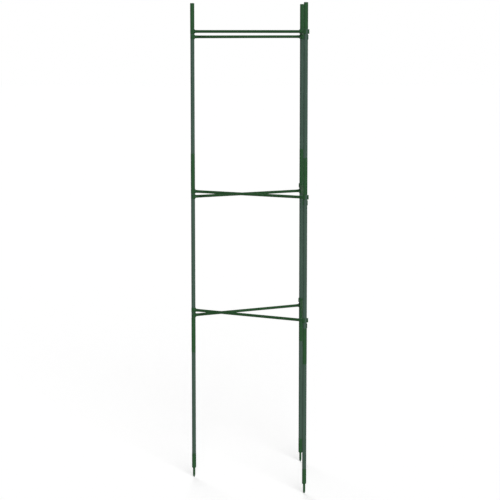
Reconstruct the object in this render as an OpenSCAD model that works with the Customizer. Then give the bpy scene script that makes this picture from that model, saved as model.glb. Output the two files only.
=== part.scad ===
// Three-cornered tomato cage: three plug-together stakes tied at three levels by snap-on cross arms.
// Lengths are in millimetres. The stakes stand along +Z on their points, with the left stake at -X and
// the front and rear stakes at +X.

/* [Stakes] */
// Distance between the axes of two neighbouring stakes
stake_spacing = 404; // [300:1:600]
// Outside diameter of the coated steel stake tubes
tube_d = 12.7; // [10:0.1:16]
// Wall thickness of the stake tubes
tube_wall = 0.8; // [0.5:0.05:1.2]
// Length of the lower stake tube
lower_tube_len = 332; // [240:1:450]
// Length of the middle stake tube
middle_tube_len = 414; // [300:1:550]
// Length of the upper stake tube
upper_tube_len = 391; // [280:1:520]
// Chamfer on the cut ends of all tubes
tube_edge = 0.2; // [0.1:0.05:0.4]

/* [Moulded stake fittings] */
// How far the fittings stand proud of the tubes, on the radius
fitting_proud = 0.2; // [0.1:0.05:0.4]
// Length of a connector between two tubes, without its spigots
connector_len = 112; // [60:1:160]
// Length of the end piece on top of a stake, without its spigot
end_piece_len = 80; // [50:1:120]
// Radius of the rounded edge on top of the end piece
end_round = 1.5; // [0.5:0.1:4]
// Chamfer where a fitting meets a tube
fitting_edge = 0.4; // [0.2:0.05:0.8]
// Depth that a fitting's spigot reaches into its tube
spigot_len = 30; // [15:1:50]
// Lead-in chamfer on the end of every spigot
spigot_lead = 1; // [0.5:0.1:1.5]
// Wall of a spigot round the fitting's core hole
spigot_wall = 2; // [1.2:0.1:3]
// Thickness of plastic that closes a blind core hole
core_floor = 5; // [3:0.5:10]

/* [Ground spike] */
// Length of the sleeve between the lower tube and the spike
sleeve_len = 48; // [30:1:80]
// Chamfer round the foot of the sleeve
sleeve_edge = 1.2; // [0.5:0.1:2]
// Length of the spike below the sleeve
spike_len = 31; // [24:1:60]
// Diameter of the spike's shank
spike_d = 7.4; // [5:0.1:9]
// Length of the spike's rounded point
point_len = 9.5; // [5:0.5:16]
// Radius of the blunt tip
tip_r = 0.8; // [0.4:0.1:1.5]

/* [Cross arms] */
// Outside diameter of the coated steel arm rods
rod_d = 9; // [7:0.1:10]
// Wall thickness of the arm rods
rod_wall = 0.8; // [0.5:0.05:1.2]
// Free space between two clips stacked on one stake
stack_gap = 2.4; // [1:0.1:12]
// Space between a level's nearest clip and the end of the fitting beside it
level_gap = 0.8; // [0.5:0.1:20]

/* [Snap clips] */
// Height of a clip's ring along the stake
clip_h = 14.4; // [11:0.1:18]
// Wall of the ring
clip_wall = 1.1; // [0.8:0.05:1.6]
// Chamfer on the rims of the ring
clip_edge = 0.3; // [0.1:0.05:0.35]
// Radius of the bead along the end of the short outer jaw
bead_r = 0.7; // [0.6:0.05:1]
// Angle between the arm's axis and the end of the short outer jaw
outer_jaw_angle = 64; // [56:1:75]
// Angle between the arm's axis and the place where the inner jaw starts to curl out
inner_jaw_angle = 60; // [52:1:70]
// Radius of the inner jaw's curl, at the middle of the wall
curl_r = 2; // [1.5:0.1:3]
// Angle that the curl turns through
curl_turn = 85; // [60:1:90]
// Straight length of the lip past the curl
lip_len = 1.5; // [0.5:0.1:4]
// How much thinner the lip is than the ring's wall
lip_thinning = 0.1; // [0.05:0.01:0.3]
// Length of the flare from the middle of the ring's wall to the neck
flare_len = 5; // [3:0.5:8]
// Length of the round neck between the flare and the rod
neck_len = 4.1; // [2:0.1:8]
// How far the neck stands proud of the rod, on the radius
neck_proud = 0.25; // [0.1:0.05:0.6]
// Depth that the clip's spigot reaches into its rod
clip_spigot_len = 18; // [10:1:30]

/* [Clearances] */
// Play between a clip's ring and the fittings that it slides over, on the radius
slide_play = 0.1; // [0.05:0.01:0.3]
// Play between a spigot and its tube, on the radius
plug_play = 0.05; // [0.02:0.01:0.15]

/* [Hidden] */
$fn = 64;
// Segments of the large, shallow arcs
fine_fn = 360;
// Overlap that carries a cut clear through a face
cut = 1;

STAKES = ["left", "front", "rear"];
LEVELS = ["top", "middle", "bottom"];
// Each side runs from one stake to the next, anticlockwise seen from above
SIDES = [["left", "front"], ["front", "rear"], ["rear", "left"]];

FITTING_GREEN = "#35503a";
TUBE_GREEN = "#46574d";
ROD_GREEN = "#304733";

// Stake sections
tube_r = tube_d / 2;
bore_r = tube_r - tube_wall;
fitting_r = tube_r + fitting_proud;
spigot_r = bore_r - plug_play;
core_r = spigot_r - spigot_wall;
spike_r = spike_d / 2;
// The point is an arc that leaves the shank without a corner and ends at the blunt tip
point_drop = spike_r - tip_r;
point_arc_r = (point_len * point_len + point_drop * point_drop) / (2 * point_drop);

// Heights along a stake, from the points up
lower_tube_z = spike_len + sleeve_len;
lower_connector_z = lower_tube_z + lower_tube_len;
middle_tube_z = lower_connector_z + connector_len;
upper_connector_z = middle_tube_z + middle_tube_len;
upper_tube_z = upper_connector_z + connector_len;
end_piece_z = upper_tube_z + upper_tube_len;

// Clip sizes
ring_r = fitting_r + slide_play;
ring_outer_r = ring_r + clip_wall;
wall_mid_r = ring_r + clip_wall / 2;
rod_r = rod_d / 2;
rod_bore_r = rod_r - rod_wall;
clip_spigot_r = rod_bore_r - plug_play;
neck_r = rod_r + neck_proud;
flare_r = clip_h / 2 - 2 * clip_edge;
flare_end = wall_mid_r + flare_len;
neck_reach = flare_end + neck_len;
flare_rise = flare_r - neck_r;
flare_arc_r = (flare_len * flare_len + flare_rise * flare_rise) / (2 * flare_rise);

// Path of the lip, in the clip's own plan: +X along the arm and away from it, +Y into the cage
function polar(r, a) = [r * cos(a), r * sin(a)];
// Straight steps in each arc of the lip
arc_steps = 12;
function arc(centre, r, from, to) =
    [for (i = [0 : arc_steps]) centre + polar(r, from + (to - from) * i / arc_steps)];
lip_wall = clip_wall - lip_thinning;
lip_h = clip_h - 2 * clip_edge;
// Turn of the curl that lies inside the ring's wall
lip_root = 8;
curl_centre = polar(wall_mid_r + curl_r, inner_jaw_angle);
curl_start = inner_jaw_angle + 180;
curl_end = curl_centre + polar(curl_r, curl_start + curl_turn);
lip_heading = inner_jaw_angle - 90 + curl_turn;
lip_tip = curl_end + polar(lip_len, lip_heading);
jaw_tip = polar(wall_mid_r, -outer_jaw_angle);

// Heights of the two slots at each level, at the middle of a clip's ring
slot_pitch = clip_h + stack_gap;
slot_inset = level_gap + clip_h / 2;
upper_slots = [end_piece_z - slot_inset, upper_connector_z - slot_inset,
               middle_tube_z + slot_inset + slot_pitch];
function slot_z(level, upper) = upper_slots[level] - (upper ? 0 : slot_pitch);
// Whether the clip at the start and at the end of each side sits in the upper slot
SIDE_SLOTS = [[true, true], [false, true], [false, false]];

// Plan of the stakes, centred so that the whole cage's box is centred on the origin
// Half of the corner between two sides
corner = 30;
lip_reach = lip_tip * polar(1, corner) + lip_wall / 2;
jaw_reach = max(jaw_tip * polar(1, -corner) + bead_r, fitting_r);
plan_depth = stake_spacing * cos(corner);
left_x = -(plan_depth + lip_reach - jaw_reach) / 2;
right_x = left_x + plan_depth;
stake_xy = [[left_x, 0], [right_x, -stake_spacing / 2], [right_x, stake_spacing / 2]];
side_heading = [-corner, 90, 180 + corner];

function rise(level, side) =
    slot_z(level, SIDE_SLOTS[side][1]) - slot_z(level, SIDE_SLOTS[side][0]);
function tilt(level, side) = atan(rise(level, side) / stake_spacing);
function span(level, side) = norm([stake_spacing, rise(level, side)]);

// A straight tube standing on z = 0, with chamfered rims
module tube(outer_r, inner_r, length) {
    rotate_extrude()
        polygon([
            [inner_r, 0],
            [outer_r - tube_edge, 0],
            [outer_r, tube_edge],
            [outer_r, length - tube_edge],
            [outer_r - tube_edge, length],
            [inner_r, length]
        ]);
}

// A fitting's visible barrel standing on z = 0, with one chamfer at the foot and one at the head
module barrel(length, foot_edge, head_edge) {
    rotate_extrude()
        polygon([
            [0, 0],
            [fitting_r - foot_edge, 0],
            [fitting_r, foot_edge],
            [fitting_r, length - head_edge],
            [fitting_r - head_edge, length],
            [0, length]
        ]);
}

// A plug standing on z = 0, with a lead-in chamfer at its end
module spigot(radius, length) {
    rotate_extrude()
        polygon([
            [0, 0],
            [radius, 0],
            [radius, length - spigot_lead],
            [radius - spigot_lead, length],
            [0, length]
        ]);
}

// The spike's shank and rounded point, with the tip at z = 0
module spike() {
    rotate_extrude()
        intersection() {
            union() {
                translate([spike_r - point_arc_r, point_len]) circle(r = point_arc_r, $fn = fine_fn);
                translate([0, point_len]) square([spike_r, spike_len - point_len]);
            }
            square([spike_r, spike_len]);
        }
}

module ground_spike() {
    core_z = spike_len + core_floor;
    color(FITTING_GREEN)
        difference() {
            union() {
                spike();
                translate([0, 0, spike_len]) barrel(sleeve_len, sleeve_edge, fitting_edge);
                translate([0, 0, lower_tube_z]) spigot(spigot_r, spigot_len);
            }
            translate([0, 0, core_z]) cylinder(r = core_r, h = lower_tube_z + spigot_len + cut - core_z);
        }
}

module stake_tube(length) {
    color(TUBE_GREEN) tube(tube_r, bore_r, length);
}

module connector() {
    color(FITTING_GREEN)
        difference() {
            union() {
                barrel(connector_len, fitting_edge, fitting_edge);
                translate([0, 0, connector_len]) spigot(spigot_r, spigot_len);
                mirror([0, 0, 1]) spigot(spigot_r, spigot_len);
            }
            translate([0, 0, -spigot_len - cut])
                cylinder(r = core_r, h = connector_len + 2 * (spigot_len + cut));
        }
}

module end_piece() {
    straight = end_piece_len - end_round;
    color(FITTING_GREEN)
        difference() {
            union() {
                barrel(straight, fitting_edge, 0);
                translate([0, 0, straight])
                    rotate_extrude() {
                        square([fitting_r - end_round, end_round]);
                        intersection() {
                            translate([fitting_r - end_round, 0]) circle(r = end_round);
                            square([fitting_r, end_round]);
                        }
                    }
                mirror([0, 0, 1]) spigot(spigot_r, spigot_len);
            }
            translate([0, 0, -spigot_len - cut])
                cylinder(r = core_r, h = spigot_len + cut + end_piece_len - core_floor);
        }
}

// Round disc that the ring is cut from, with chamfered rims
module ring_blank() {
    half = clip_h / 2;
    rotate_extrude()
        polygon([
            [0, -half],
            [ring_outer_r - clip_edge, -half],
            [ring_outer_r, -half + clip_edge],
            [ring_outer_r, half - clip_edge],
            [ring_outer_r - clip_edge, half],
            [0, half]
        ]);
}

// Hole for the stake, opened out by a chamfer at each rim
module ring_bore() {
    half = clip_h / 2;
    rotate_extrude()
        polygon([
            [0, -half - cut],
            [ring_r + clip_edge + cut, -half - cut],
            [ring_r, -half + clip_edge],
            [ring_r, half - clip_edge],
            [ring_r + clip_edge + cut, half + cut],
            [0, half + cut]
        ]);
}

// Wedge that opens the ring between its two jaws
module mouth() {
    reach = 2 * ring_outer_r;
    linear_extrude(clip_h + 2 * cut, center = true)
        polygon([
            [0, 0],
            polar(reach, -outer_jaw_angle),
            [reach, 0],
            polar(reach, inner_jaw_angle)
        ]);
}

// Lip that carries the inner jaw on, curls out and ends round; its root is bedded in the ring's wall
module lip() {
    half = lip_wall / 2;
    linear_extrude(lip_h, center = true)
        polygon(concat(
            arc(curl_centre, curl_r - half, curl_start - lip_root, curl_start + curl_turn),
            arc(lip_tip, half, lip_heading + 90, lip_heading - 90),
            arc(curl_centre, curl_r + half, curl_start + curl_turn, curl_start - lip_root)
        ));
}

// Rounded bead along the end of the short outer jaw
module jaw_bead() {
    translate(jaw_tip) cylinder(r = bead_r, h = lip_h, center = true);
}

// Flare, neck and spigot, turned about the rod's axis, which runs from the stake towards -X
module neck() {
    // The neck starts inside the ring's hole, which is cut out of it later
    root = ring_r / 4;
    rotate([0, -90, 0]) {
        rotate_extrude()
            difference() {
                translate([0, root]) square([flare_r, flare_end - root]);
                translate([neck_r + flare_arc_r, flare_end]) circle(r = flare_arc_r, $fn = fine_fn);
            }
        translate([0, 0, flare_end]) cylinder(r = neck_r, h = neck_len);
        translate([0, 0, neck_reach]) spigot(clip_spigot_r, clip_spigot_len);
    }
}

// A clip whose rod leaves towards -X and climbs by the given angle
module clip(climb) {
    reach = neck_reach + clip_spigot_len + cut;
    color(FITTING_GREEN)
        difference() {
            union() {
                difference() {
                    ring_blank();
                    mouth();
                }
                jaw_bead();
                lip();
                intersection() {
                    rotate([0, climb, 0]) neck();
                    cube([2 * reach, 2 * wall_mid_r, 2 * reach], center = true);
                }
            }
            ring_bore();
        }
}

module at_stake(stake, z) {
    translate([stake_xy[stake][0], stake_xy[stake][1], z]) children();
}

module rod(level, side) {
    color(ROD_GREEN)
        at_stake(side, slot_z(level, SIDE_SLOTS[side][0]))
            rotate([0, -tilt(level, side), side_heading[side]])
                translate([neck_reach, 0, 0])
                    rotate([0, 90, 0])
                        tube(rod_r, rod_bore_r, span(level, side) - 2 * neck_reach);
}

// The clip at a side's first stake is the mirror image of the one at its second
module start_clip(level, side) {
    at_stake(side, slot_z(level, SIDE_SLOTS[side][0]))
        rotate(side_heading[side] + 180)
            mirror([0, 1, 0])
                clip(tilt(level, side));
}

module end_clip(level, side) {
    at_stake((side + 1) % len(STAKES), slot_z(level, SIDE_SLOTS[side][1]))
        rotate(side_heading[side])
            clip(-tilt(level, side));
}

for (i = [0 : len(STAKES) - 1]) {
    stake = STAKES[i];
    at_stake(i, 0) ground_spike();
    at_stake(i, lower_tube_z) stake_tube(lower_tube_len);
    at_stake(i, lower_connector_z) connector();
    at_stake(i, middle_tube_z) stake_tube(middle_tube_len);
    at_stake(i, upper_connector_z) connector();
    at_stake(i, upper_tube_z) stake_tube(upper_tube_len);
    at_stake(i, end_piece_z) end_piece();
}

for (l = [0 : len(LEVELS) - 1], s = [0 : len(SIDES) - 1]) {
    arm = str(LEVELS[l], "_", SIDES[s][0], "_", SIDES[s][1]);
    rod(l, s);
    start_clip(l, s);
    end_clip(l, s);
}
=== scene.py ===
# %% [markdown]
# # Dressing a tomato cage
# The object is a tall garden cage: three thin stakes with spiked feet, tied together at three levels by
# slim arms that snap on with plastic clips. Its construction already exists as a set of solids at their
# real size. This lesson leaves those solids exactly where they are and gives them what makes them look
# real: a camera, a studio, the finish of each material, and the small marks that moulding leaves behind.

# %% Load the cage as a fixed frame
import math

import bpy
import numpy as np
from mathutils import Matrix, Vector


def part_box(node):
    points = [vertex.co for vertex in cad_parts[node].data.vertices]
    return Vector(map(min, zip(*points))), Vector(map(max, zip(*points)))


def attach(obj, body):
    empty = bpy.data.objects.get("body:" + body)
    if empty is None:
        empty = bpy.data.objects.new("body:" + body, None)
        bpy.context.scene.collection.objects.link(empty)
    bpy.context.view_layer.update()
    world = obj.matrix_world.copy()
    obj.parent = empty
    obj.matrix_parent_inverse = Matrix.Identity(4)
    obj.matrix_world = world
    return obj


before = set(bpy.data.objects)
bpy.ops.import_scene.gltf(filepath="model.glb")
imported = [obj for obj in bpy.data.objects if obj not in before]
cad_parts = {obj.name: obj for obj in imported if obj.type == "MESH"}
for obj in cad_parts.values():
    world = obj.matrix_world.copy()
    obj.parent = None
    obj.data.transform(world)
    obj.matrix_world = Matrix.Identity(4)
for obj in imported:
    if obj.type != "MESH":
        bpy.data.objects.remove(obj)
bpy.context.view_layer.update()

scene = bpy.context.scene

# %% [markdown]
# ## Where the pieces are
# Every name in the cage follows one rule: a stake's pieces start with the stake, and an arm's pieces start
# with the level and the two stakes that the arm ties together. The places could be typed in as numbers,
# but then a change to the construction would leave the looks behind. So they are measured: a stake's axis
# is the middle of its tube's box, and a clip's height is the middle of its own box.

# %% Names and places
MM = 0.001
STAKES = ("left", "front", "rear")
LEVELS = ("top", "middle", "bottom")
SIDES = (("left", "front"), ("front", "rear"), ("rear", "left"))
FITTINGS = ("ground_spike", "lower_connector", "upper_connector", "end_piece")
TUBES = ("lower_tube", "middle_tube", "upper_tube")


def box(node):
    """Lowest and highest corner of a node, as two arrays in metres."""
    low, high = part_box(node)
    return np.array(low), np.array(high)


def middle(node):
    """Middle of a node's box, in metres."""
    return sum(box(node)) / 2


stake_axis = {stake: middle(f"{stake}_middle_tube")[:2] for stake in STAKES}


def clip_place(level, a, b, stake):
    """Middle of the ring of an arm's clip: on the stake's axis, half way up the clip's box."""
    return np.append(stake_axis[stake], middle(f"{level}_{a}_{b}_{stake}_clip")[2])


for stake, axis in stake_axis.items():
    print(stake, "stake stands at", np.round(axis / MM, 2), "mm")

# %% [markdown]
# ## The camera
# The cage is seen from a little below its top, from five and a half metres away, through a long lens. From
# there the front and rear stakes almost line up, which is what makes the picture look like a ladder. The
# camera is tipped down a few degrees to hold the spikes in the frame. A shifted lens would keep the stakes
# dead upright, but it would also push the cage out of every other view.

# %% Camera
EYE = (0.004, -5.471, 1.438)
LOOK_DOWN = math.radians(7.26)
FOCAL_LENGTH_MM = 124.6
SENSOR_MM = 36

lens = bpy.data.cameras.new("portrait_lens")
lens.sensor_width = SENSOR_MM
lens.lens = FOCAL_LENGTH_MM
camera = bpy.data.objects.new("camera", lens)
camera.location = EYE
camera.rotation_euler = (math.pi / 2 - LOOK_DOWN, 0, 0)
scene.collection.objects.link(camera)
scene.camera = camera
view_angle = 2 * math.degrees(math.atan(SENSOR_MM / 2 / FOCAL_LENGTH_MM))
print("camera sees", round(view_angle, 1), "degrees across")

# %% [markdown]
# ## Colours and nodes
# Colours are easiest to read as the hex codes that a paint program shows. Those are sRGB values, while a
# shader works in linear light, so one function converts them. A second function adds a shader node and
# wires it up in the same breath. Nodes could be made and linked line by line, but this way a material's
# recipe stays in one readable column.

# %% Helpers for colours and nodes
def linear(hex_code):
    """Linear RGBA of an sRGB hex code.
    Each channel c becomes ((c + 0.055) / 1.055) ** 2.4, or c / 12.92 where it is very dark."""
    c = np.array([int(hex_code[i:i + 2], 16) for i in (1, 3, 5)]) / 255
    c = np.where(c <= 0.04045, c / 12.92, ((c + 0.055) / 1.055) ** 2.4)
    return (*c, 1.0)


def add(tree, kind, inputs=None, **settings):
    """Adds a node: settings are its properties, inputs are numbers, colours or the sockets that feed it."""
    node = tree.nodes.new(kind)
    for name, value in settings.items():
        setattr(node, name, value)
    for name, value in (inputs or {}).items():
        if isinstance(value, bpy.types.NodeSocket):
            tree.links.new(value, node.inputs[name])
        else:
            node.inputs[name].default_value = value
    return node


def new_material(name):
    """An empty node material and its tree."""
    material = bpy.data.materials.new(name)
    material.use_nodes = True
    material.node_tree.nodes.clear()
    return material, material.node_tree


WHITE = linear("#ffffff")
print("white in linear light is", WHITE)

# %% [markdown]
# ## A white studio
# The cage stands in a studio with white walls. They could be modelled, but a world does the same with less:
# it shows white to every ray that the eye can follow. To all other rays it gives only a little light,
# because light that comes evenly from everywhere would flatten the round tubes.

# %% World
scene.view_settings.view_transform = "Standard"
AMBIENT = 0.08


def seen_directly(tree):
    """1 for the rays that show a surface to the eye: straight, by reflection or through glass."""
    path = add(tree, "ShaderNodeLightPath")
    mirrored = add(tree, "ShaderNodeMath", operation="MAXIMUM",
                   inputs={0: path.outputs["Is Camera Ray"], 1: path.outputs["Is Glossy Ray"]})
    seen = add(tree, "ShaderNodeMath", operation="MAXIMUM",
               inputs={0: mirrored.outputs[0], 1: path.outputs["Is Transmission Ray"]})
    return seen.outputs[0]


world = bpy.data.worlds.new("white_studio")
world.use_nodes = True
sky = world.node_tree
sky.nodes.clear()
level = add(sky, "ShaderNodeMapRange", {"Value": seen_directly(sky), "To Min": AMBIENT, "To Max": 1.0})
background = add(sky, "ShaderNodeBackground", {"Color": WHITE, "Strength": level.outputs[0]})
add(sky, "ShaderNodeOutputWorld", {"Surface": background.outputs[0]})
scene.world = world
print("the world looks white and lights the cage with a strength of", AMBIENT)

# %% [markdown]
# ## The lamps
# A broad sun from behind the camera's shoulder is the main lamp: round tubes come out brighter in the
# middle than at their edges, which is what shows that they are round. A weaker one from the far side keeps
# the back of the cage from going black. Lamps on stands would fade from the top of the cage to its foot,
# and suns don't. The far sun makes no highlights, because at a glancing angle it would turn the arms that
# point at the camera grey.

# %% Suns
SUN_SPREAD = math.radians(30)
SUN_TIP = math.radians(62)
# Strength of each sun, and its turn about the vertical
SUNS = {"main_sun": (2.7, math.radians(12)), "far_sun": (1.7, math.radians(192))}

for name, (strength, turn) in SUNS.items():
    lamp = bpy.data.lights.new(name, "SUN")
    lamp.energy = strength
    lamp.angle = SUN_SPREAD
    sun = bpy.data.objects.new(name, lamp)
    sun.rotation_euler = (SUN_TIP, 0, turn)
    sun.visible_glossy = name == "main_sun"
    scene.collection.objects.link(sun)
print("suns:", list(SUNS))

# %% [markdown]
# ## The floor
# The cage stands on a wide sheet of white paper. Lit like this, white paper comes out pale grey. Stronger
# lamps would make it white and wash out the greens, so the paper adds light of its own instead, but only
# to rays that the eye can follow: it lights nothing, and the shadow of the cage stays.

# %% Paper
PAPER_HALF_WIDTH = 40.0
PAPER_WHITE = "#e6e6e6"
PAPER_GLOW = 0.42

paper_material, tree = new_material("white_paper")
glow = add(tree, "ShaderNodeMath", {0: seen_directly(tree), 1: PAPER_GLOW}, operation="MULTIPLY")
matt = add(tree, "ShaderNodeBsdfDiffuse", {"Color": linear(PAPER_WHITE)})
shine = add(tree, "ShaderNodeEmission", {"Color": WHITE, "Strength": glow.outputs[0]})
surface = add(tree, "ShaderNodeAddShader", {0: matt.outputs[0], 1: shine.outputs[0]})
add(tree, "ShaderNodeOutputMaterial", {"Surface": surface.outputs[0]})

corners = np.array([(-1, -1, 0), (1, -1, 0), (1, 1, 0), (-1, 1, 0)]) * PAPER_HALF_WIDTH
paper_mesh = bpy.data.meshes.new("paper")
paper_mesh.from_pydata(corners.tolist(), [], [(0, 1, 2, 3)])
paper_mesh.materials.append(paper_material)
paper = bpy.data.objects.new("paper", paper_mesh)
scene.collection.objects.link(paper)
print("paper is", 2 * PAPER_HALF_WIDTH, "m wide")

# %% [markdown]
# ## Marks along a tube
# The stake tubes and the arm rods are thin steel tube with a skin of coloured polyethylene, drawn through
# a die while it is soft. Up close the skin shows faint streaks along the tube, where the die drags, a
# shallow waviness like orange peel, and a few scuffs from handling. A picture of them could be wrapped
# round each tube, but it would need a flat map of every tube and would blur close up. Noise that is worked
# out from the position needs no map and stays sharp. One Mapping node turns the position until its X axis
# lies along the tube. Another divides it by a length along X and a width across it, and that stretches
# plain noise into streaks.

# %% Noise for each mark
# Length along the tube and width across it in millimetres, and the detail of the noise.
# Real die streaks are about 0.2 mm wide, and they are drawn coarser here so that they show.
TUBE_MARKS = {
    "broad": ((90, 1.6, 1.6), 1.0),
    "fine": ((45, 0.5, 0.5), 2.0),
    "scuff": ((14, 0.9, 0.9), 3.0),
    "peel": ((5, 5, 5), 1.0),
}


def tube_marks(tree, direction):
    """The noise of each mark, for a tube that runs along a direction.
    The turn that lays the direction on the X axis turns the position too."""
    turn = Vector(direction).to_track_quat("X", "Z").inverted().to_euler()
    place = add(tree, "ShaderNodeTexCoord").outputs["Object"]
    along = add(tree, "ShaderNodeMapping", {"Vector": place, "Rotation": turn}).outputs[0]
    mark = {}
    for kind, (size_mm, detail) in TUBE_MARKS.items():
        scale = [1 / (size * MM) for size in size_mm]
        drawn = add(tree, "ShaderNodeMapping", {"Vector": along, "Scale": scale}).outputs[0]
        noise = add(tree, "ShaderNodeTexNoise", {"Vector": drawn, "Scale": 1.0, "Detail": detail})
        mark[kind] = noise.outputs["Fac"]
    return mark


print("sizes of the marks in mm:", {kind: size_mm for kind, (size_mm, detail) in TUBE_MARKS.items()})

# %% [markdown]
# ## Polyethylene coating
# Polyethylene that was drawn through a die is matt, with a depth of colour that paint lacks. The marks could
# all change the colour, but on the real skin each does something else. The streaks make the green a little
# darker and lighter and leave grooves, the scuffs are paler, and the waves change how rough the skin is.

# %% Coating recipe
STREAK_DEPTH_MM = 0.04
PEEL_DEPTH_MM = 0.05
# Least and most of what the streaks multiply the colour by, and of the roughness that follows the waves
COAT_TONE = (0.86, 1.14)
COAT_ROUGHNESS = (0.64, 0.78)
SCUFF_GREY = "#8a9a90"
SCUFF_COVER = 0.16
COAT_IOR = 1.51
# The cage looks almost free of gloss, so the reflection is far below the 0.5 of a clear plastic
COAT_SPECULAR = 0.05


def coating(name, hex_code, direction):
    """Polyethylene coat whose streaks run along a direction."""
    material, tree = new_material(name)
    mark = tube_marks(tree, direction)
    streaks = add(tree, "ShaderNodeMath", {0: mark["broad"], 1: mark["fine"]}, operation="ADD")
    tone = add(tree, "ShaderNodeMapRange", {"Value": streaks.outputs[0], "From Min": 0.7, "From Max": 1.3,
                                            "To Min": COAT_TONE[0], "To Max": COAT_TONE[1]})
    colour = add(tree, "ShaderNodeMix", data_type="RGBA", blend_type="MULTIPLY",
                 inputs={6: linear(hex_code), 7: tone.outputs[0], "Factor": 1.0})
    rubbed = add(tree, "ShaderNodeMapRange", {"Value": mark["scuff"], "From Min": 0.66, "From Max": 0.76,
                                              "To Min": 0.0, "To Max": SCUFF_COVER})
    worn = add(tree, "ShaderNodeMix", data_type="RGBA",
               inputs={6: colour.outputs[2], 7: linear(SCUFF_GREY), "Factor": rubbed.outputs[0]})

    gloss = add(tree, "ShaderNodeMapRange", {
        "Value": mark["peel"], "From Min": 0.3, "From Max": 0.7,
        "To Min": COAT_ROUGHNESS[0], "To Max": COAT_ROUGHNESS[1]})
    waves = add(tree, "ShaderNodeBump", {"Height": mark["peel"], "Strength": 0.3,
                                         "Distance": PEEL_DEPTH_MM * MM})
    lines = add(tree, "ShaderNodeBump", {"Height": mark["fine"], "Normal": waves.outputs[0],
                                         "Strength": 0.5, "Distance": STREAK_DEPTH_MM * MM})
    skin = add(tree, "ShaderNodeBsdfPrincipled", {
        "Base Color": worn.outputs[2], "Roughness": gloss.outputs[0], "Normal": lines.outputs[0],
        "IOR": COAT_IOR, "Specular IOR Level": COAT_SPECULAR})
    add(tree, "ShaderNodeOutputMaterial", {"Surface": skin.outputs[0]})
    return material


print("coat: roughness", COAT_ROUGHNESS, "and IOR", COAT_IOR)

# %% [markdown]
# ## Coating the tubes and rods
# The tubes all stand upright, so one coat serves them all. The rods of one side of the cage run almost the
# same way at every level, so each side gets a coat of its own. A coat for each rod would show no
# difference. The rods are a darker and fresher green than the tubes.

# %% Coat the tubes and rods
TUBE_GREEN = "#41554a"
ROD_GREEN = "#27482a"

tube_coat = coating("polyethylene_coat_tube", TUBE_GREEN, (0, 0, 1))
for stake in STAKES:
    for tube in TUBES:
        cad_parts[f"{stake}_{tube}"].data.materials[0] = tube_coat
for a, b in SIDES:
    direction = clip_place("top", a, b, b) - clip_place("top", a, b, a)
    rod_coat = coating(f"polyethylene_coat_{a}_{b}", ROD_GREEN, direction)
    for level in LEVELS:
        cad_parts[f"{level}_{a}_{b}_rod"].data.materials[0] = rod_coat
print("coated:", len(STAKES) * len(TUBES), "tubes and", len(SIDES) * len(LEVELS), "rods")

# %% [markdown]
# ## Rubbed edges
# Handling rubs the sharp edges of moulded plastic paler. That wear could be painted on, edge by edge. A
# Bevel node finds all the edges at once: it gives the normal that a rounded edge would have, and where that
# differs from the true normal, an edge is near.

# %% Edges found by their normals
EDGE_MM = 0.35
# How well the two normals match where the wear starts and where it is full
EDGE_MATCH = (0.98, 0.80)
EDGE_COVER = 0.6


def rubbed_edges(tree):
    """Wear from 0 on smooth faces to EDGE_COVER on edges, by the dot product of the two normals."""
    rounded = add(tree, "ShaderNodeBevel", {"Radius": EDGE_MM * MM}, samples=6)
    surface = add(tree, "ShaderNodeNewGeometry")
    match = add(tree, "ShaderNodeVectorMath", operation="DOT_PRODUCT",
                inputs={0: rounded.outputs[0], 1: surface.outputs["Normal"]})
    wear = add(tree, "ShaderNodeMapRange", {
        "Value": match.outputs["Value"], "From Min": EDGE_MATCH[0], "From Max": EDGE_MATCH[1],
        "To Min": 0.0, "To Max": EDGE_COVER})
    return wear.outputs[0]


print("edges are rubbed", EDGE_MM, "mm wide")

# %% [markdown]
# ## Moulded polypropylene
# The connectors, the end pieces, the ground spikes and the clips are injection moulded polypropylene. The
# mould's walls are eroded by sparks, which leaves a fine matt grain, and the melt leaves soft swirls of
# colour along the way that it flowed. Grain could be modelled, but it would take millions of faces. Two
# noises do it, a fine one for the grain and a slow, twisted one for the swirls, and the swirls make the wear
# on the edges patchy.

# %% Polypropylene recipe
# Spark grain is about 0.1 mm on the real thing and is drawn coarser here so that it shows
GRAIN_MM = 0.7
GRAIN_DEPTH_MM = 0.05
FLOW_MM = 14
# Least and most of what grain and swirls multiply the colour by, and of the grain's roughness
PLASTIC_TONE = (0.84, 1.16)
PLASTIC_ROUGHNESS = (0.54, 0.68)
PLASTIC_IOR = 1.49
# As matt as the coat, to the eye
PLASTIC_SPECULAR = 0.08


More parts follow.
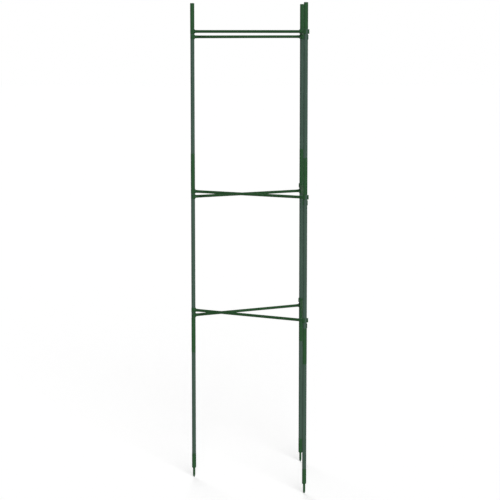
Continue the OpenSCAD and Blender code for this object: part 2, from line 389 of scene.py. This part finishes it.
def polypropylene(name, hex_code, worn_hex):
    """Matt moulded polypropylene with spark grain, slow swirls of colour and rubbed edges."""
    material, tree = new_material(name)
    place = add(tree, "ShaderNodeTexCoord").outputs["Object"]
    grain = add(tree, "ShaderNodeTexNoise", {"Vector": place, "Scale": 1 / (GRAIN_MM * MM), "Detail": 2.0,
                                             "Roughness": 0.6}).outputs["Fac"]
    flow = add(tree, "ShaderNodeTexNoise", {"Vector": place, "Scale": 1 / (FLOW_MM * MM), "Detail": 3.0,
                                            "Distortion": 1.5}).outputs["Fac"]
    mottle = add(tree, "ShaderNodeMath", {0: grain, 1: flow}, operation="ADD")
    tone = add(tree, "ShaderNodeMapRange", {"Value": mottle.outputs[0], "From Min": 0.6, "From Max": 1.4,
                                            "To Min": PLASTIC_TONE[0], "To Max": PLASTIC_TONE[1]})
    colour = add(tree, "ShaderNodeMix", data_type="RGBA", blend_type="MULTIPLY",
                 inputs={6: linear(hex_code), 7: tone.outputs[0], "Factor": 1.0})
    patchy = add(tree, "ShaderNodeMath", {0: rubbed_edges(tree), 1: flow}, operation="MULTIPLY")
    worn = add(tree, "ShaderNodeMix", data_type="RGBA",
               inputs={6: colour.outputs[2], 7: linear(worn_hex), "Factor": patchy.outputs[0]})

    gloss = add(tree, "ShaderNodeMapRange", {
        "Value": grain, "From Min": 0.3, "From Max": 0.7,
        "To Min": PLASTIC_ROUGHNESS[0], "To Max": PLASTIC_ROUGHNESS[1]})
    bumps = add(tree, "ShaderNodeBump", {"Height": grain, "Strength": 0.6, "Distance": GRAIN_DEPTH_MM * MM})
    skin = add(tree, "ShaderNodeBsdfPrincipled", {
        "Base Color": worn.outputs[2], "Roughness": gloss.outputs[0], "Normal": bumps.outputs[0],
        "IOR": PLASTIC_IOR, "Specular IOR Level": PLASTIC_SPECULAR})
    add(tree, "ShaderNodeOutputMaterial", {"Surface": skin.outputs[0]})
    return material


print("plastic: grain of", GRAIN_MM, "mm and swirls of", FLOW_MM, "mm")

# %% [markdown]
# ## Plastic on the fittings and clips
# The moulded pieces all come from one batch of one green. Each could have a material of its own, so that no
# two look alike, but the patterns follow the position, and that already gives every piece its own swirls.
# So one material serves them all.

# %% Give the moulded pieces their plastic
PLASTIC_GREEN = "#294c2e"
WORN_GREEN = "#5d7f62"

plastic = polypropylene("moulded_polypropylene", PLASTIC_GREEN, WORN_GREEN)
moulded = [f"{stake}_{fitting}" for stake in STAKES for fitting in FITTINGS]
moulded += [f"{level}_{a}_{b}_{stake}_clip" for level in LEVELS for a, b in SIDES for stake in (a, b)]
for node in moulded:
    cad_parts[node].data.materials[0] = plastic
print("moulded:", len(moulded), "fittings and clips")

# %% [markdown]
# ## Raised lines
# Where the two halves of a mould meet, the plastic creeps into the joint and leaves a fine raised line. A
# bump in the material would show it to the eye, but the mesh and the outline would lack it. So the line is
# a surface of its own, a profile carried along a path. The path comes first: it is drawn as a few straight
# lines and arcs, and then walked in equal steps, so that the surface gets even faces.

# %% Steps along a path
LINE_STEP = 0.5 * MM


def unit(vectors):
    """Vectors divided by their own length."""
    return vectors / np.linalg.norm(vectors, axis=-1, keepdims=True)


def walked(path):
    """Length walked along a path, at each of its points: the running sum of its steps."""
    return np.append(0, np.cumsum(np.linalg.norm(np.diff(path, axis=0), axis=1)))


def even_steps(path):
    """The same path in equal steps: each coordinate is interpolated over the length walked."""
    length = walked(path)
    stops = np.linspace(0, length[-1], 1 + round(length[-1] / LINE_STEP))
    return np.stack([np.interp(stops, length, column) for column in path.T], axis=1)


def arc(centre, radius, start, end, steps=16):
    """Points on a circle: centre + radius * (cos a, sin a), for angles a from start to end."""
    angle = np.linspace(start, end, steps)[:, None]
    return np.array(centre) + radius * np.hstack([np.cos(angle), np.sin(angle)])


print("a path is walked in steps of", LINE_STEP / MM, "mm")

# %% [markdown]
# ## A low arch along the path
# A curve with a round bevel would look like a wire laid on the plastic. A mould line is a low arch instead,
# and it always stands square to the surface under it. So every point of the path gets a ring of points: an
# arch above the surface and two feet sunk a little below it, so that no light gets under. The rings are the
# rows of a grid, and the grid becomes a closed shell.

# %% A profile carried along a path
# A real line is about half as wide and high, and it is drawn coarser here so that it shows
LINE_WIDTH = 0.5 * MM
LINE_HEIGHT = 0.15 * MM
LINE_SINK = 0.2 * MM
LINE_FADE = 1.5 * MM
ARCH_STEPS = 7


def grid_shell(points):
    """Closed shell of a grid of points whose rows are closed loops, as (vertices, quads, caps).
    The quads join each row to the next, and a cap closes the first row and the last."""
    rows, columns = points.shape[:2]
    index = np.arange(rows * columns).reshape(rows, columns)
    following = np.roll(index, -1, axis=1)
    quads = np.stack([index[:-1], following[:-1], following[1:], index[1:]], axis=-1).reshape(-1, 4)
    return points.reshape(-1, 3), quads, np.stack([index[0, ::-1], index[-1]])


def raised_line(path, outward):
    """Closed bar along a path.
    The top of its cross-section is an arch: height * cos(pi / 2 * t) at t * width / 2 to the side, for t
    from -1 to 1. The height fades to nothing towards both ends, and the foot lies LINE_SINK below the
    surface. The side direction is the path's tangent x outward."""
    side = unit(np.cross(np.gradient(path, axis=0), outward))
    t = np.linspace(-1, 1, ARCH_STEPS)
    length = walked(path)
    fade = np.clip(np.minimum(length, length[-1] - length) / LINE_FADE, 0, 1)
    top = fade[:, None] * LINE_HEIGHT * np.cos(np.pi / 2 * t)
    up = np.hstack([top, np.full((len(path), 2), -LINE_SINK)])
    across = LINE_WIDTH / 2 * np.append(t, (1, -1))
    return grid_shell(path[:, None] + across[:, None] * side[:, None] + up[:, :, None] * outward[:, None])


print("a raised line is", LINE_WIDTH / MM, "mm wide and", LINE_HEIGHT / MM, "mm high")

# %% [markdown]
# ## From shells to a piece
# Each line could be an object of its own, but that would make a long list of slivers. Instead all the
# shells on one arm or one stake become one piece. Its place is in its mesh, so the object stays at the
# origin, as the solids do, and it rides on the body that carries the plastic under it.

# %% Shells become a piece that rides on a body
def make_piece(name, shells, body):
    """One plastic object of several shells, with its place in its mesh, riding on a body."""
    vertices, faces = [], []
    for points, quads, caps in shells:
        faces += (quads + len(vertices)).tolist() + (caps + len(vertices)).tolist()
        vertices += points.tolist()
    mesh = bpy.data.meshes.new(name)
    mesh.from_pydata(vertices, [], faces)
    mesh.materials.append(plastic)
    piece = bpy.data.objects.new(name, mesh)
    scene.collection.objects.link(piece)
    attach(piece, body)
    print(name, "has", len(shells), "shells and", len(faces), "faces")


print("new pieces are made of", plastic.name)

# %% [markdown]
# ## The mould line of a clip
# A clip's mould opens up and down along the stake, so its line runs round the clip half way up: along the
# neck, out over the flare, round the ring and, on the side that faces into the cage, out along the lip. The
# path could be cut out of the clip's mesh with a plane, but that gives uneven points and rough normals.
# Seen from above it is a chain of straight lines and arcs, so it is written that way.

# %% The clip's outline in plan
RING_R = 7.75 * MM
WALL_MID_R = 7.2 * MM
NECK_R = 4.75 * MM
NECK_REACH = 16.3 * MM
FLARE_R = 6.6 * MM
FLARE_LEN = 5 * MM
INNER_JAW = math.radians(60)
OUTER_JAW = math.radians(66)
CURL_R = 2 * MM
CURL_TURN = math.radians(85)
LIP_HALF = 0.5 * MM
LIP_LEN = 1.5 * MM
RING_STEPS = 32


def neck_and_ring(jaw):
    """Plan of one side of a clip: the straight neck, the flare's arc and the ring up to the jaw's angle.
    The rod leaves towards -X. The flare's arc touches the neck, so for a flare of length l that rises by h
    its radius is (l * l + h * h) / 2h."""
    rise = FLARE_R - NECK_R
    radius = (FLARE_LEN ** 2 + rise ** 2) / (2 * rise)
    start = -(WALL_MID_R + FLARE_LEN)
    foot = -math.pi / 2
    flare = arc((start, NECK_R + radius), radius, foot, foot + math.asin(FLARE_LEN / radius))
    ring = arc((0, 0), RING_R, math.pi - math.asin(FLARE_R / RING_R), jaw, RING_STEPS)
    return np.vstack([(-NECK_REACH, NECK_R), flare, ring])


def lip():
    """Plan of the lip's outer side: the inside of its curl, then straight on along its last tangent."""
    turn = INNER_JAW + math.pi
    centre = (WALL_MID_R + CURL_R) * np.array([math.cos(INNER_JAW), math.sin(INNER_JAW)])
    curl = arc(centre, CURL_R - LIP_HALF, turn, turn + CURL_TURN)
    heading = INNER_JAW - math.pi / 2 + CURL_TURN
    return np.vstack([curl, curl[-1] + LIP_LEN * np.array([math.cos(heading), math.sin(heading)])])


inner_plan = even_steps(np.vstack([neck_and_ring(INNER_JAW), lip()]))
outer_plan = even_steps(neck_and_ring(OUTER_JAW))
print("mould line of a clip:", len(inner_plan), "and", len(outer_plan), "points")

# %% [markdown]
# ## Mould lines on the arms
# The eighteen clips could each have a plan of their own. One plan fits them all if its X axis is pointed
# away from the arm's other end and its Y axis into the cage, with Y mirrored for the line on the outside.
# The clips of a level are stacked on the stakes, so an arm leans a little, and along the neck its lines
# climb with it.

# %% Mould lines on both clips of each arm
cage_axis = np.mean(list(stake_axis.values()), axis=0)


def clip_lines(here, there):
    """The two mould lines of the clip at one end of an arm, from the places of this clip and the other one.
    A point of the plan lies at x * away + y * inward. Along the neck its height is the arm's slope times
    the distance from the stake."""
    away = unit((here - there)[:2])
    inward = np.array([-away[1], away[0]])
    inward *= np.sign(inward @ (cage_axis - here[:2]))
    slope = (there - here)[2] / np.linalg.norm((there - here)[:2])
    shells = []
    for plan, mirror in ((inner_plan, 1), (outer_plan, -1)):
        tangent = unit(np.gradient(plan, axis=0))
        normal = np.stack([-tangent[:, 1], tangent[:, 0]], axis=1)
        flat = plan[:, :1] * away + mirror * plan[:, 1:] * inward
        outward = normal[:, :1] * away + mirror * normal[:, 1:] * inward
        climb = slope * np.maximum(-plan[:, :1], 0)
        path = here + np.hstack([flat, climb])
        shells.append(raised_line(path, np.hstack([outward, np.zeros_like(climb)])))
    return shells


for level in LEVELS:
    for a, b in SIDES:
        start, end = clip_place(level, a, b, a), clip_place(level, a, b, b)
        shells = clip_lines(start, end) + clip_lines(end, start)
        make_piece(f"{level}_{a}_{b}_mould_lines", shells, f"{level}_{a}_{b}_arm")

# %% [markdown]
# ## Mould lines of the stake fittings
# The fittings of a stake are moulded lying down, so their line runs lengthwise. On the connectors and end
# pieces only the line that faces out of the cage is left standing, where the mouths of the clips pass it.
# The line could be drawn in space, point by point, but it lies in a plane through the stake's axis. There
# two numbers give each point, its radius and its height, and the same profile serves all three stakes.

# %% Profiles of the connectors and the end piece
low, high = box("left_end_piece")
FITTING_R = (high - low)[0] / 2
STAKE_TOP = high[2]
FITTING_EDGE = 0.4 * MM
END_ROUND = 1.5 * MM
ROUND_STEPS = 9


def barrel_foot(below):
    """Height at which a fitting's barrel starts, past its chamfer, on top of the tube below it."""
    return box(f"left_{below}")[1][2] + FITTING_EDGE


def barrel_head(above):
    """Height at which a fitting's barrel ends, short of its chamfer, under the tube above it."""
    return box(f"left_{above}")[0][2] - FITTING_EDGE


def connector_profile(below, above):
    """Straight line down a connector's barrel."""
    return np.array([(FITTING_R, barrel_head(above)), (FITTING_R, barrel_foot(below))])


def end_profile():
    """Across the end piece's flat top, over the quarter circle of its rounded edge and down its barrel."""
    edge = FITTING_R - END_ROUND
    bend = arc((edge, STAKE_TOP - END_ROUND), END_ROUND, math.pi / 2, 0, ROUND_STEPS)
    return np.vstack([(-edge, STAKE_TOP), bend, (FITTING_R, barrel_foot("upper_tube"))])


print("a fitting is", round(2 * FITTING_R / MM, 2), "mm thick")

# %% [markdown]
# ## The mould line of a ground spike
# A ground spike is a sleeve as thick as the tube, a thinner shank and a blunt point, and it keeps both of
# its lines, all the way down to the point. The profile could be read off the solid's mesh, but that is
# loose triangles in no order. So it is written down like the others: a few corners for the sleeve and the
# shank, and an arc for the point.

# %% Profile of the ground spike
SPIKE_LEN = 31 * MM
SPIKE_R = 3.7 * MM
SLEEVE_EDGE = 1.2 * MM
POINT_LEN = 9.5 * MM
TIP_R = 0.8 * MM
POINT_STEPS = 12


def spike_profile():
    """Down the sleeve, in under its foot, down the shank and along the arc of the point.
    The arc leaves the shank without a corner, so its radius is (l * l + d * d) / 2d for a point of length l
    that drops by d to the blunt tip."""
    drop = SPIKE_R - TIP_R
    radius = (POINT_LEN ** 2 + drop ** 2) / (2 * drop)
    point = arc((SPIKE_R - radius, POINT_LEN), radius, 0, -math.asin(POINT_LEN / radius), POINT_STEPS)
    sleeve = [(FITTING_R, barrel_head("lower_tube")), (FITTING_R, SPIKE_LEN + SLEEVE_EDGE),
              (FITTING_R - SLEEVE_EDGE, SPIKE_LEN), (SPIKE_R, SPIKE_LEN)]
    return np.vstack([sleeve, point])


print("the line down a spike is", round(walked(spike_profile())[-1] / MM, 1), "mm long")

# %% [markdown]
# ## Gate pips
# Where the melt entered the mould, a stub was snapped off and left a small round pip: a low button with a
# dimple. It could be a cylinder that is cut and bevelled. A short profile turned about its own axis gives
# the rim and the dimple in one go.

# %% A turned button
# Each point of the button's profile, as shares of its radius and height, from its sunk foot to its dimple
PIP_R = 1.1 * MM * np.array([1, 1, 0.93, 0.8, 0.5, 0.42])
PIP_HEIGHT = 0.3 * MM * np.array([-1, 0.5, 0.85, 1, 1, 0.5])
PIP_STEPS = 24


def gate_pip(place, axis):
    """Button turned about an axis: place + radius * spoke + height * axis.
    The spoke goes once round the axis: cos a * east + sin a * north, for angles a of a full turn."""
    turn = np.linspace(0, 2 * np.pi, PIP_STEPS, endpoint=False)[:, None]
    east = unit(np.cross(axis, (axis[1], axis[2], axis[0])))
    spoke = np.cos(turn) * east + np.sin(turn) * np.cross(axis, east)
    return grid_shell(place + PIP_R[:, None, None] * spoke + PIP_HEIGHT[:, None, None] * np.array(axis))


print("a pip is", round(2 * PIP_R.max() / MM, 2), "mm wide and", round(PIP_HEIGHT.max() / MM, 2), "mm high")

# %% [markdown]
# ## Lines and pips on the stakes
# Each connector gets a line and a pip half way up it, the end piece a line and a pip on its top, and the
# ground spike a line on either side. They could ride on the fittings one by one, but a stake doesn't come
# apart while it stands, so they make one piece per stake.

# %% Lines and pips on each stake
CONNECTED = (("lower_tube", "middle_tube"), ("middle_tube", "upper_tube"))


def stake_line(profile, stake, way):
    """Raised line along a profile that runs downwards, in the direction way from the stake's axis.
    A point lies at axis + radius * way, and the normal is the profile's tangent turned by a quarter."""
    profile = even_steps(profile)
    tangent = unit(np.gradient(profile, axis=0))
    path = np.hstack([stake_axis[stake] + profile[:, :1] * way, profile[:, 1:]])
    return raised_line(path, np.hstack([-tangent[:, 1:] * way, tangent[:, :1]]))


for stake in STAKES:
    axis = stake_axis[stake]
    way = unit(axis - cage_axis)
    shells = [stake_line(connector_profile(*tubes), stake, way) for tubes in CONNECTED]
    for below, above in CONNECTED:
        half_way_up = (barrel_foot(below) + barrel_head(above)) / 2
        shells.append(gate_pip(np.append(axis + FITTING_R * way, half_way_up), np.append(way, 0)))
    shells.append(stake_line(end_profile(), stake, way))
    shells.append(gate_pip(np.append(axis, STAKE_TOP), (0, 0, 1)))
    shells += [stake_line(spike_profile(), stake, side) for side in (way, -way)]
    make_piece(f"{stake}_stake_mould_lines", shells, "stakes")
